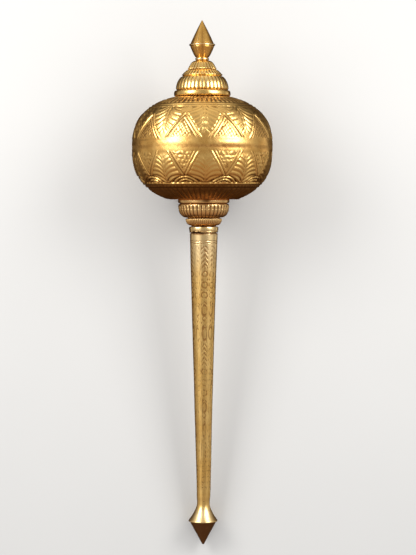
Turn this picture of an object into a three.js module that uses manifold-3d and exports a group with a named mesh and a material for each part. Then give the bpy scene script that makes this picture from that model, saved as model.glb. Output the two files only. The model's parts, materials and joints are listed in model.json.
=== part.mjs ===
// Ceremonial mace of gilt sheet brass, lying at rest on its globe and on the rim of its pommel.
// Millimetres, +Z up. The mace's axis runs along Y with the head towards +Y and a little higher than the butt.
// Stations along the axis are distances from the tip of the finial: 0 there, LENGTH at the tip of the pommel.
// Angles round the axis are measured from the side that faces up, positive towards +X.

import * as THREE from 'three';
import { mergeVertices } from 'three/addons/utils/BufferGeometryUtils.js';
import Module from 'manifold-3d';

const wasm = await Module();
wasm.setup();

// ---------------------------------------------------------------- driving dimensions
const LENGTH = 700;             // tip of the finial to tip of the pommel
const GAP = 0.3;                // between two pieces that bear on each other

// finial: two cones back to back with a rolled rim, on a small neck ring
const FINIAL_TIP_R = 0.9;       // blunt tip
const FINIAL_RIM_S = 32.6;      // station of the widest part of the rim
const FINIAL_RIM_R = 17.2;
const FINIAL_RIM_H = 2.6;       // height of the rolled rim
const FINIAL_FOOT_S = 49.6;     // foot of the lower cone
const FINIAL_FOOT_R = 7.8;
const NECK_R = 8.7;             // neck ring under the foot
const NECK_END_S = 52.8;

// dome cap: two tiers of leaves, a gadrooned skirt and a half-round base ring
const CAP_TOP_R = 11.6;
const TIER1_END_S = 64.4, TIER1_END_R = 18.9;
const TIER2_START_R = 20.3, TIER2_END_S = 73.0, TIER2_END_R = 26.4;
const SKIRT_START_S = 74.0, SKIRT_START_R = 26.9;
const SKIRT_END_S = 91.8, SKIRT_END_R = 34.6;
const SKIRT_LOBES = 34;         // gadroons round the skirt
const SKIRT_DEPTH = 1.7;        // depth of the grooves between them
const CAP_RING_R = 37.7;        // half-round base ring
const CAP_RING_S = 93.0, CAP_RING_END_S = 100.7;

// globe: flattened sphere, fuller above than below
const GLOBE_R = 93.8;
const GLOBE_MID_S = 171.8;      // station of the greatest width
const GLOBE_UP_H = 72.7, GLOBE_UP_N = 2.5;      // upper half: height and exponent of the outline
const GLOBE_LOW_H = 71.0, GLOBE_LOW_N = 2.35;   // lower half
const GLOBE_TOP_S = CAP_RING_END_S + GAP;
const GLOBE_END_S = 236.7;
const BORDER_UP_S = 111.4, BORDER_LOW_S = 215.8; // raised cords that bound the carved field
const BORDER_H = 0.7, BORDER_W = 2.4;
const GLOBE_FLAT_DEPTH = 1.2;   // small flat spot that the globe lies on

// collar: flat ring, gadrooned cup, fluted roll and short neck
const COLLAR_R = 34.3;
const COLLAR_RING_END_S = 242.2;
const CUP_START_S = 244.0, CUP_END_S = 261.2;
const CUP_START_R = 33.6, CUP_END_R = 24.6;
const CUP_FLUTES = 36, CUP_DEPTH = 1.2;
const ROLL_START_S = 263.2, ROLL_END_S = 272.0;
const ROLL_R = 24.2, ROLL_END_R = 17.6;
const COLLAR_NECK_R = 16.8;
const COLLAR_END_S = 273.4;

// ferrule: rounded band over the top of the shaft, with a torn lower edge on one side
const FERRULE_R = 20.0, FERRULE_END_R = 18.5;
const FERRULE_END_S = 281.7;
const FERRULE_BORE_R = 17.2;
const TEAR_FROM = -64, TEAR_TO = -3;            // degrees round the axis
const TEAR_DEPTH = 2.7;

// shaft: tapered grip
const SEAT_R = FERRULE_BORE_R - GAP;            // part of the shaft inside the ferrule
const SHAFT_START_S = 282.6;
const SHAFT_START_R = 18.55, SHAFT_END_R = 9.05;
const SHAFT_END_S = 633.6;
const SHAFT_HOLLOW = 0.35;                      // slight inward bow of the taper, mm at mid length

// pommel: waist, flared cone with a rolled rim, and a conical cap under it
const POMMEL_START_S = SHAFT_END_S + GAP;
const WAIST_R = 8.5, WAIST_LOW_R = 8.85;
const FLARE_START_S = 645.0;
const POMMEL_RIM_S = 667.6;
const POMMEL_RIM_R = 19.35;
const POMMEL_RIM_H = 3.2;
const POMMEL_CONE_R = 17.3;                     // head of the conical cap
const POMMEL_TIP_R = 1.1;
const POMMEL_FLAT_DEPTH = 0.25;                 // small flat on the rim where it lies

// facets round the axis
const ROUND = 36;
const GLOBE_FACETS = 60;

// ---------------------------------------------------------------- profiles: [radius, station] from head to butt
const lerp = (a, b, t) => a + (b - a) * t;
const steps = (n, fn) => Array.from({ length: n + 1 }, (_, i) => fn(i / n));

// rounded bead between two stations, standing out to radius r from its end radii
function bead(s0, s1, r0, r1, r, n) {
  return steps(n, (t) => [lerp(r0, r1, t) + (r - lerp(r0, r1, t)) * Math.sin(Math.PI * t), lerp(s0, s1, t)]);
}

function finialProfile() {
  const rimStart = FINIAL_RIM_S - FINIAL_RIM_H / 2, rimEnd = FINIAL_RIM_S + FINIAL_RIM_H / 2;
  return [
    [0, 0],
    [FINIAL_TIP_R, 0.9],
    ...steps(2, (t) => [lerp(FINIAL_TIP_R, FINIAL_RIM_R - 1.0, (t + 0.15) / 1.15), lerp(0.9, rimStart, (t + 0.15) / 1.15)]),
    ...bead(rimStart, rimEnd, FINIAL_RIM_R - 0.7, FINIAL_RIM_R - 0.7, FINIAL_RIM_R, 2).slice(0, 3),
    ...steps(2, (t) => [lerp(FINIAL_RIM_R - 1.3, FINIAL_FOOT_R, t) - 0.5 * Math.sin(Math.PI * t), lerp(rimEnd + 0.2, FINIAL_FOOT_S, t)]),
    ...bead(FINIAL_FOOT_S + 0.2, NECK_END_S, NECK_R - 0.8, NECK_R - 0.8, NECK_R, 2),
    [0, NECK_END_S],
  ];
}

function capProfile() {
  const top = NECK_END_S + GAP;
  return [
    [0, top],
    [CAP_TOP_R, top],
    ...steps(2, (t) => [lerp(CAP_TOP_R, TIER1_END_R, Math.pow(t, 0.75)) + 0.2, lerp(top + 0.8, TIER1_END_S, t)]),
    ...steps(2, (t) => [lerp(TIER2_START_R, TIER2_END_R, Math.pow(t, 0.85)), lerp(TIER1_END_S + 0.3, TIER2_END_S, t)]),
    ...steps(4, (t) => [lerp(SKIRT_START_R, SKIRT_END_R, Math.sin(t * Math.PI * 0.5)), lerp(SKIRT_START_S, SKIRT_END_S, t)]),
    ...bead(CAP_RING_S, CAP_RING_END_S, 34.9, 35.6, CAP_RING_R, 3),
    [0, CAP_RING_END_S],
  ];
}

// outline of the globe at a station
function globeRadius(s) {
  const up = s < GLOBE_MID_S;
  const h = up ? GLOBE_UP_H : GLOBE_LOW_H, n = up ? GLOBE_UP_N : GLOBE_LOW_N;
  const u = Math.min(1, Math.abs(s - GLOBE_MID_S) / h);
  return GLOBE_R * Math.pow(1 - Math.pow(u, n), 1 / n);
}

function globeProfile() {
  const station = (angle, up) => {
    const h = up ? GLOBE_UP_H : GLOBE_LOW_H, n = up ? GLOBE_UP_N : GLOBE_LOW_N;
    return GLOBE_MID_S + (up ? -1 : 1) * h * Math.pow(Math.sin(angle), 2 / n);
  };
  const cord = (s) => [[globeRadius(s - BORDER_W / 2), s - BORDER_W / 2], [globeRadius(s) + BORDER_H, s], [globeRadius(s + BORDER_W / 2), s + BORDER_W / 2]];
  const rows = [];
  for (let i = 1; i <= 6; i++) {
    rows.push(station((i / 7) * Math.PI / 2, true));
    rows.push(station((i / 7) * Math.PI / 2, false));
  }
  rows.push(GLOBE_MID_S, GLOBE_TOP_S, GLOBE_END_S);
  const near = (s) => Math.abs(s - BORDER_UP_S) < BORDER_W || Math.abs(s - BORDER_LOW_S) < BORDER_W;
  const body = rows.filter((s) => s >= GLOBE_TOP_S && s <= GLOBE_END_S && !near(s)).map((s) => [globeRadius(s), s]);
  const all = [...body, ...cord(BORDER_UP_S), ...cord(BORDER_LOW_S)].sort((a, b) => a[1] - b[1]);
  return [[0, GLOBE_TOP_S], ...all, [0, GLOBE_END_S]];
}

function collarProfile() {
  const top = GLOBE_END_S + GAP;
  return [
    [0, top],
    [COLLAR_R - 0.4, top],
    [COLLAR_R, top + 0.6],
    [COLLAR_R - 0.3, COLLAR_RING_END_S],
    [CUP_START_R - 1.8, COLLAR_RING_END_S + 0.6],
    ...steps(3, (t) => [lerp(CUP_END_R, CUP_START_R, Math.cos(t * Math.PI * 0.5)), lerp(CUP_START_S, CUP_END_S, Math.pow(t, 0.85))]),
    [CUP_END_R - 2.6, CUP_END_S + 0.9],
    ...steps(2, (t) => [lerp(ROLL_END_R, ROLL_R, Math.cos(t * Math.PI * 0.5)), lerp(ROLL_START_S, ROLL_END_S, Math.pow(t, 0.75))]),
    [COLLAR_NECK_R, ROLL_END_S + 0.4],
    [COLLAR_NECK_R, COLLAR_END_S],
    [0, COLLAR_END_S],
  ];
}

function ferruleProfile() {
  const top = COLLAR_END_S + GAP;
  return [
    [FERRULE_BORE_R, top],
    ...bead(top, FERRULE_END_S, FERRULE_END_R - 0.3, FERRULE_END_R, FERRULE_R, 4),
    [FERRULE_BORE_R, FERRULE_END_S],
    [FERRULE_BORE_R, top],
  ];
}

function shaftRadius(s) {
  const t = (s - SHAFT_START_S) / (SHAFT_END_S - SHAFT_START_S);
  return lerp(SHAFT_START_R, SHAFT_END_R, t) - SHAFT_HOLLOW * Math.sin(Math.PI * t);
}

function shaftProfile() {
  const top = COLLAR_END_S + GAP;
  return [
    [0, top],
    [SEAT_R, top],
    [SEAT_R, SHAFT_START_S - 0.4],
    [SHAFT_START_R - 0.6, SHAFT_START_S - 0.3],
    ...steps(8, (t) => { const s = lerp(SHAFT_START_S + 0.6, SHAFT_END_S, t); return [shaftRadius(s), s]; }),
    [0, SHAFT_END_S],
  ];
}

function pommelProfile() {
  const rimStart = POMMEL_RIM_S - POMMEL_RIM_H / 2, rimEnd = POMMEL_RIM_S + POMMEL_RIM_H / 2;
  return [
    [0, POMMEL_START_S],
    [WAIST_R, POMMEL_START_S],
    [WAIST_R, POMMEL_START_S + 4.5],
    ...steps(4, (t) => [lerp(WAIST_LOW_R, POMMEL_RIM_R - 0.6, Math.pow(t, 1.15)), lerp(FLARE_START_S, rimStart, t)]),
    [POMMEL_RIM_R, POMMEL_RIM_S],
    [POMMEL_RIM_R - 0.9, rimEnd - 0.3],
    ...steps(3, (t) => [lerp(POMMEL_CONE_R, POMMEL_TIP_R, t) + 0.5 * Math.sin(Math.PI * t), lerp(rimEnd, LENGTH - 0.9, t)]),
    [0, LENGTH],
  ];
}

// ---------------------------------------------------------------- pose at rest
// How far a profile reaches below the axis, square to the floor, when the axis dips by `tilt` towards the butt.
const reach = (profile, tilt) => Math.max(...profile.map(([r, s]) => r * Math.cos(tilt) + (s - GLOBE_MID_S) * Math.sin(tilt)));

function restTilt() {
  const globe = globeProfile(), pommel = pommelProfile();
  let low = 0, high = 0.5;
  for (let i = 0; i < 60; i++) {
    const tilt = (low + high) / 2;
    const globeBelow = reach(globe, tilt) - GLOBE_FLAT_DEPTH;
    const pommelBelow = reach(pommel, tilt) - POMMEL_FLAT_DEPTH;
    if (pommelBelow < globeBelow) low = tilt; else high = tilt;
  }
  return (low + high) / 2;
}

const TILT = restTilt();
const MID_HEIGHT = reach(globeProfile(), TILT) - GLOBE_FLAT_DEPTH;   // height of the globe's middle over the floor

// The middle of the length stands over the origin, so the model's box is centred on it.
const pose = new THREE.Matrix4()
  .makeTranslation(0, 0, MID_HEIGHT + (GLOBE_MID_S - LENGTH / 2) * Math.sin(TILT))
  .multiply(new THREE.Matrix4().makeRotationX(TILT));

// ---------------------------------------------------------------- solids
// Turns a profile round the axis; `shape(radius, station, angle)` gives carved radius and station of each point.
function turned(profile, facets, shape = (r, s) => [r, s]) {
  const points = profile.slice().reverse().map(([r, s]) => new THREE.Vector2(r, LENGTH / 2 - s));
  const lathe = new THREE.LatheGeometry(points, facets);
  const position = lathe.getAttribute('position');
  for (let i = 0; i < position.count; i++) {
    const x = position.getX(i), y = position.getY(i), z = position.getZ(i);
    const r = Math.hypot(x, z);
    if (r < 1e-6) { position.setXYZ(i, 0, y, 0); continue; }
    const [radius, station] = shape(r, LENGTH / 2 - y, Math.atan2(x, z));
    position.setXYZ(i, x / r * radius, LENGTH / 2 - station, z / r * radius);
  }
  return closed(lathe);
}

// Merges equal points and leaves out triangles without area.
function closed(geometry) {
  const bare = new THREE.BufferGeometry();
  bare.setAttribute('position', geometry.getAttribute('position'));
  bare.setIndex(geometry.getIndex());
  const merged = mergeVertices(bare, 1e-4);
  const index = merged.getIndex().array, kept = [];
  for (let i = 0; i < index.length; i += 3) {
    const [a, b, c] = [index[i], index[i + 1], index[i + 2]];
    if (a !== b && b !== c && c !== a) kept.push(a, b, c);
  }
  merged.setIndex(kept);
  return merged;
}

const solid = (geometry) => new wasm.Manifold(new wasm.Mesh({
  numProp: 3,
  vertProperties: new Float32Array(geometry.getAttribute('position').array),
  triVerts: new Uint32Array(geometry.getIndex().array),
}));

function geometryOf(manifold) {
  const mesh = manifold.getMesh();
  const geometry = new THREE.BufferGeometry();
  geometry.setAttribute('position', new THREE.BufferAttribute(new Float32Array(mesh.vertProperties), 3));
  geometry.setIndex([...mesh.triVerts]);
  return closed(geometry);
}

// Cuts a turned piece, already in its place, flat where it would reach below the floor.
function flattened(geometry) {
  const block = new THREE.BoxGeometry(400, 900, 60).translate(0, 0, -30);
  for (const name of ['normal', 'uv']) block.deleteAttribute(name);
  return geometryOf(solid(geometry).subtract(solid(closed(block))));
}

// Scallops: 0 on a crest, 1 in a groove, `count` of each round the axis.
const scallop = (angle, count) => (1 - Math.cos(count * angle)) / 2;
const fade = (s, from, to, edge) => Math.min(1, Math.max(0, Math.min((s - from) / edge, (to - s) / edge)));

const skirtShape = (r, s, angle) => {
  if (s < SKIRT_START_S - 0.1 || s > SKIRT_END_S + 0.1) return [r, s];
  return [r - SKIRT_DEPTH * (0.35 + 0.65 * fade(s, SKIRT_START_S, SKIRT_END_S + 4, 6)) * scallop(angle, SKIRT_LOBES), s];
};

const collarShape = (r, s, angle) => {
  if (s > CUP_START_S - 0.1 && s < CUP_END_S + 0.1) return [r - CUP_DEPTH * scallop(angle, CUP_FLUTES), s];
  if (s > ROLL_START_S - 0.1 && s < ROLL_END_S + 0.1) return [r - 0.7 * CUP_DEPTH * scallop(angle, CUP_FLUTES), s];
  return [r, s];
};

// Ragged tear: the band's lower edge climbs where metal is missing.
const tear = (angle) => {
  const deg = angle * 180 / Math.PI;
  if (deg < TEAR_FROM || deg > TEAR_TO) return 0;
  const t = (deg - TEAR_FROM) / (TEAR_TO - TEAR_FROM);
  return TEAR_DEPTH * Math.pow(Math.sin(Math.PI * t), 0.6) * (0.78 + 0.22 * Math.cos(5 * Math.PI * t));
};
const ferruleShape = (r, s, angle) => [r, s > FERRULE_END_S - 0.01 ? s - tear(angle) : Math.min(s, FERRULE_END_S - 0.3 - tear(angle))];

// ---------------------------------------------------------------- scene graph
const gilt = (color, roughness) => new THREE.MeshStandardMaterial({ color, roughness, metalness: 1 });

const mace = new THREE.Group();
const leaning = new THREE.Group();          // carries the pieces in the mace's own axis
leaning.applyMatrix4(pose);
mace.add(leaning);

function add(parent, name, geometry, material) {
  const mesh = new THREE.Mesh(geometry, material);
  mesh.name = name;
  parent.add(mesh);
}

add(leaning, 'finial', turned(finialProfile(), ROUND), gilt(0xc98a33, 0.3));
add(leaning, 'dome_cap', turned(capProfile(), 2 * SKIRT_LOBES, skirtShape), gilt(0xd39a3c, 0.3));
add(mace, 'globe', flattened(turned(globeProfile(), GLOBE_FACETS).applyMatrix4(pose)), gilt(0xc79238, 0.34));
add(leaning, 'collar', turned(collarProfile(), 2 * CUP_FLUTES, collarShape), gilt(0xc9913f, 0.33));
add(leaning, 'ferrule', turned(ferruleProfile(), 48, ferruleShape), gilt(0xd2a04a, 0.28));
add(leaning, 'shaft', turned(shaftProfile(), ROUND), gilt(0xcfa04c, 0.38));
add(mace, 'pommel', flattened(turned(pommelProfile(), ROUND).applyMatrix4(pose)), gilt(0xc98f45, 0.32));

export default mace;
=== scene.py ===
import json
import math

import bpy
import numpy as np
from mathutils import Matrix, Vector

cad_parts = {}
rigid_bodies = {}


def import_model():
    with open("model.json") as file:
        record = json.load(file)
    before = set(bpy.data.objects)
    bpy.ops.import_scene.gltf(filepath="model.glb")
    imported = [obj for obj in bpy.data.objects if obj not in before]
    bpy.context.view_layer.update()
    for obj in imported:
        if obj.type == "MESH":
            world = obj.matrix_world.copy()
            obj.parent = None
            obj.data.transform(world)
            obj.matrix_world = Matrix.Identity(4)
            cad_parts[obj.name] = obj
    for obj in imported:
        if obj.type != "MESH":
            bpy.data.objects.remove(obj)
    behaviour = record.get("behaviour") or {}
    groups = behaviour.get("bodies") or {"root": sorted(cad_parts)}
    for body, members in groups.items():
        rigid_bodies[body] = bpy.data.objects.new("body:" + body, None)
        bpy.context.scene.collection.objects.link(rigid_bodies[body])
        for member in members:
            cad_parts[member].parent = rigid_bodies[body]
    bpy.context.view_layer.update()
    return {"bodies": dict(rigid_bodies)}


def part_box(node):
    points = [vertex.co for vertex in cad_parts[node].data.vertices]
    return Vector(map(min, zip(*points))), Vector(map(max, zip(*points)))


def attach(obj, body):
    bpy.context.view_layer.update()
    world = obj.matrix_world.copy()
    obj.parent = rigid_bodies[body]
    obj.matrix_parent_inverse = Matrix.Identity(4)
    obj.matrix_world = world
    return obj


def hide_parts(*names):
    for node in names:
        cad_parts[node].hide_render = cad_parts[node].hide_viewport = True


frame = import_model()

# ------------------------------------------------------------------ the mace's own frame
# Stations run from the tip of the finial (0) to the tip of the pommel (LENGTH), in millimetres.
# Angles round the axis are 0 on the side that faces up, positive towards +X.
LENGTH = 700.0
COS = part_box("finial")[1].y / (LENGTH / 2000.0)
TILT = math.acos(min(1.0, COS))
GLOBE_MID = 171.8
GLOBE_R = 93.8
UP_H, UP_N = 72.7, 2.5
LOW_H, LOW_N = 71.0, 2.35
# the pommel's tip fixes the height of the axis: its box reaches up to the rim, down to the floor
RIM_S, RIM_R = 667.6, 19.35
MID_Z = RIM_R * math.cos(TILT) - 0.25 + (RIM_S - LENGTH / 2) * math.sin(TILT)

D2R = math.pi / 180


def smooth(e0, e1, x):
    t = np.clip((x - e0) / (e1 - e0), 0, 1)
    return t * t * (3 - 2 * t)


def ridge(d, half):
    """Rounded ridge: 1 on its line, 0 from `half` away."""
    t = np.clip(1 - np.abs(d) / half, 0, 1)
    return np.sin(t * math.pi / 2) ** 1.5


def wave(q):
    """Rounded stripes of period 1: 1 on the crest, 0 in the line between two."""
    return np.abs(np.cos(math.pi * q)) ** 0.7


def waver(phi, s, seed, size=1.0):
    """Slow unevenness of hand-raised metal, without a seam round the axis."""
    rng = np.random.default_rng(seed)
    out = np.zeros(np.broadcast(phi, s).shape)
    for _ in range(9):
        k, m = rng.integers(1, 7), rng.uniform(0.02, 0.09) / size
        p, q = rng.uniform(0, 2 * math.pi, 2)
        out += np.cos(k * phi + p) * np.cos(m * s + q) / 3.0
    return out


def fine(phi, s, seed, low=20, high=70, n=24):
    """Small hammer-like unevenness, without a seam round the axis."""
    rng = np.random.default_rng(seed)
    out = np.zeros(np.broadcast(phi, s).shape)
    for _ in range(n):
        k = rng.integers(low, high)
        m = rng.uniform(-1, 1) * k / 60.0
        p = rng.uniform(0, 2 * math.pi)
        out += np.cos(k * phi + m * s + p)
    return out / math.sqrt(n)


def lean(s):
    """How far the hand-fitted collar and grip stand to one side of the globe's axis."""
    return np.interp(s, [236.8, 237.0, 262, 280, 300, 400, 520, 625, 645, 667, 700], [0, 1.5, 1.6, 1.5, 1.4, 0.8, 0.6, 0.6, 0.2, -0.3, -0.2])


def turned(name, rows, columns, relief, cavity_scale=0.6):
    """Mesh of revolution from rows of (radius, station), carved along its normals by `relief`.
    The rows start and end on the axis. Carries the carving's depth, together with the painted shade that `relief` adds
    to it, as the attribute Relief."""
    rows = np.array(rows, float)
    r, s = rows[:, 0], rows[:, 1]
    dr, ds = np.gradient(r), np.gradient(s)
    length = np.hypot(dr, ds)
    length[length < 1e-9] = 1
    nr, ns = ds / length, -dr / length
    arc = np.concatenate([[0], np.cumsum(np.hypot(np.diff(r), np.diff(s)))])
    phi = (np.arange(columns) / columns - 0.5) * 2 * math.pi
    P, S = np.meshgrid(phi, s[1:-1])
    R = np.meshgrid(phi, r[1:-1])[1]
    A = np.meshgrid(phi, arc[1:-1])[1]
    h, carved, worn = relief(P, S, R, A)
    RR = R + h * nr[1:-1, None]
    SS = S + h * ns[1:-1, None]
    body = np.stack([RR * np.sin(P), LENGTH / 2 - SS, RR * np.cos(P)], -1).reshape(-1, 3)
    ends = np.array([[0, LENGTH / 2 - s[0], 0], [0, LENGTH / 2 - s[-1], 0]])
    co = np.concatenate([body, ends])
    co[:, 0] += lean(LENGTH / 2 - co[:, 1])
    n_rows = len(r) - 2
    c, t = math.cos(TILT), math.sin(TILT)
    world = np.stack([co[:, 0], co[:, 1] * c - co[:, 2] * t, co[:, 1] * t + co[:, 2] * c + MID_Z], -1)
    world[:, 2] = np.maximum(world[:, 2], 0)
    i = np.arange(n_rows - 1)[:, None] * columns
    j = np.arange(columns)[None, :]
    k = (j + 1) % columns
    quads = np.stack([i + j, i + columns + j, i + columns + k, i + k], -1).reshape(-1, 4)
    j, k = j[0], k[0]
    last = (n_rows - 1) * columns
    top, bottom = n_rows * columns, n_rows * columns + 1
    caps = np.concatenate([np.stack([np.full(columns, top), j, k], -1), np.stack([np.full(columns, bottom), last + k, last + j], -1)])
    me = bpy.data.meshes.new(name)
    me.vertices.add(len(world))
    me.vertices.foreach_set("co", (world / 1000).astype(np.float32).ravel())
    loops = np.concatenate([quads.ravel(), caps.ravel()])
    me.loops.add(len(loops))
    me.loops.foreach_set("vertex_index", loops.astype(np.int32))
    starts = np.concatenate([np.arange(len(quads)) * 4, len(quads) * 4 + np.arange(len(caps)) * 3])
    me.polygons.add(len(starts))
    me.polygons.foreach_set("loop_start", starts.astype(np.int32))
    me.update(calc_edges=True)
    me.validate()
    # map: round the axis along U, along the outline in V
    v = arc[1:-1] / arc[-1]
    u0 = np.arange(columns) / columns
    uq = np.stack([np.tile(u0, n_rows - 1), np.tile(u0, n_rows - 1), np.tile(u0 + 1 / columns, n_rows - 1), np.tile(u0 + 1 / columns, n_rows - 1)], -1).ravel()
    lo, hi = np.repeat(v[:-1], columns), np.repeat(v[1:], columns)
    vq = np.stack([lo, hi, hi, lo], -1).ravel()
    uc = np.concatenate([np.stack([u0 + 0.5 / columns, u0, u0 + 1 / columns], -1).ravel(), np.stack([u0 + 0.5 / columns, u0 + 1 / columns, u0], -1).ravel()])
    vc = np.concatenate([np.tile([0, v[0], v[0]], columns), np.tile([1, v[-1], v[-1]], columns)])
    uv = np.stack([np.concatenate([uq, uc]) * 0.996 + 0.002, 0.998 - 0.996 * np.concatenate([vq, vc])], -1)
    layer = me.uv_layers.new(name="OFBake")
    layer.data.foreach_set("uv", uv.astype(np.float32).ravel())
    # Relief: 1 on what stands proud, 0 in the deepest lines, -1 in a painted dark gap shadow; besides the carving it
    # holds painted shade in gaps, joins and undersides. Wear: where hands and cloths have worn the gilt
    for key, value, pad in (("Relief", np.where(carved < -4, -1.0, smooth(-cavity_scale, cavity_scale, carved)), 0.5), ("Wear", worn, 0.5)):
        a = me.attributes.new(key, "FLOAT", "POINT")
        a.data.foreach_set("value", np.concatenate([value.ravel(), [pad, pad]]).astype(np.float32))
    me.polygons.foreach_set("use_smooth", np.ones(len(me.polygons), bool))
    ob = bpy.data.objects.new(name, me)
    bpy.context.scene.collection.objects.link(ob)
    return ob


def run(points, pitch):
    """Rows along a polyline of (radius, station), about `pitch` apart, corners kept."""
    out = [points[0]]
    for a, b in zip(points[:-1], points[1:]):
        n = max(1, int(round(math.hypot(b[0] - a[0], b[1] - a[1]) / pitch)))
        out += [(a[0] + (b[0] - a[0]) * i / n, a[1] + (b[1] - a[1]) * i / n) for i in range(1, n + 1)]
    return out


def curve(fn, n):
    return [fn(i / n) for i in range(n + 1)]


def lerp(a, b, t):
    return a + (b - a) * t


# ------------------------------------------------------------------ globe
def globe_r(s):
    s = np.asarray(s, float)
    up = s < GLOBE_MID
    h, n = np.where(up, UP_H, LOW_H), np.where(up, UP_N, LOW_N)
    u = np.clip(np.abs(s - GLOBE_MID) / h, 0, 1)
    return GLOBE_R * (1 - u ** n) ** (1 / n)


_s = np.linspace(101.0, 236.7, 4001)
_arc = np.concatenate([[0], np.cumsum(np.hypot(np.diff(globe_r(_s)), np.diff(_s)))])
_arc -= np.interp(GLOBE_MID, _s, _arc)


def arc_of(s):
    return np.interp(s, _s, _arc)


def station_of(a):
    return np.interp(a, _arc, _s)


REPEATS = 10
TRI_AT = 20.5 * D2R                   # angle of one triangle's middle line
UP_BORDER, LOW_BORDER = 116.0, 217.0  # stations of the borders of the carved field
UP_APEX, UP_BASE = 125.2, 157.6       # triangles of the upper field
LOW_BASE, LOW_APEX = 175.2, 209.6     # triangles of the lower field


def globe_rows():
    edges = [(101.0, 1.15), (112.0, 0.95), (158.4, 1.25), (174.4, 0.95), (222.0, 1.7), (236.2, 1.0)]
    rows = [(0, 101.0)]
    for (s0, p), (s1, _) in zip(edges[:-1], edges[1:]):
        a0, a1 = arc_of(s0), arc_of(s1)
        n = max(1, int(round((a1 - a0) / p)))
        for i in range(n):
            s = float(station_of(a0 + (a1 - a0) * i / n))
            rows.append((float(globe_r(s)), s))
    rows += [(float(globe_r(236.2)), 236.2), (float(globe_r(236.6)) - 0.8, 236.7), (30.0, 236.7), (0, 236.7)]
    return rows


def fan(x, reach, spread):
    """How far a leaflet has travelled from its root along the stem, at x from the stem."""
    return reach * (1 - np.exp(-np.abs(x) / spread))


def palm(along, across, d, pitch, reach, spread, tall, vein, line=0.62, half=0.21):
    """Palm rooted on a border: `along` mm from the border, `across` mm from the stem, d mm inside the
    neighbouring triangle (negative outside). Leaflets leave the stem steeply and flatten to their tips."""
    q = (along - fan(across, reach, spread)) / pitch
    f = (q + 0.5) % 1 - 0.5
    lift = fan(across, reach, spread)
    thick = np.sqrt(np.clip(1 - (f / 0.42) ** 2, 0, 1))
    body = 1.0 * thick - line * ridge(np.abs(f) - 0.5, half) - vein * ridge(f - 0.08, 0.13)
    reach_tip = smooth(-0.9, -2.6, d)
    grown = smooth(-0.25 * pitch, 0.5 * pitch, along - lift + pitch * 1.1) * smooth(tall + 3, tall - 6, along)
    stem = 0.85 * ridge(across, 1.5)
    beside = 0.4 * ridge(np.abs(across) - 2.0, 0.8)
    leaf = np.where(np.abs(across) > 1.3, body, 0.25 * body) * reach_tip * grown
    return np.maximum(leaf, stem * smooth(tall, tall - 8, along)) - beside * smooth(tall, tall - 8, along)


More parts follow.
